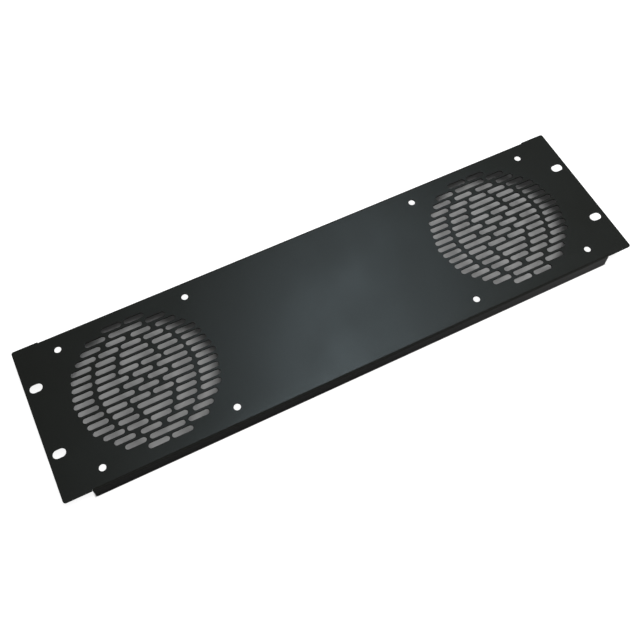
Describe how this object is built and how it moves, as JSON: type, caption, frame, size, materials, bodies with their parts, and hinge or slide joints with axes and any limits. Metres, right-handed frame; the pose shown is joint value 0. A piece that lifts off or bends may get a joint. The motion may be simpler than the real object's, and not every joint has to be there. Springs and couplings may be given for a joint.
{
  "type": "rack fan panel",
  "caption": "Flat black rack panel with rack ears, folded long edges, slotted round vents to mount fans behind, and screw holes round each vent.",
  "frame": {"origin": "on the plane that the flanges' free edges stand on, under the middle of the panel", "axes": "+X along the panel's width from ear to ear, +Y up its height in the rack, +Z out of its front face"},
  "size_m": [0.4826, 0.1316, 0.014],
  "materials": {
    "powder_coat": "black powder coat, satin, fine texture"
  },
  "bodies": {
    "root": {"fan_panel": "powder_coat"}
  },
  "joints": []
}
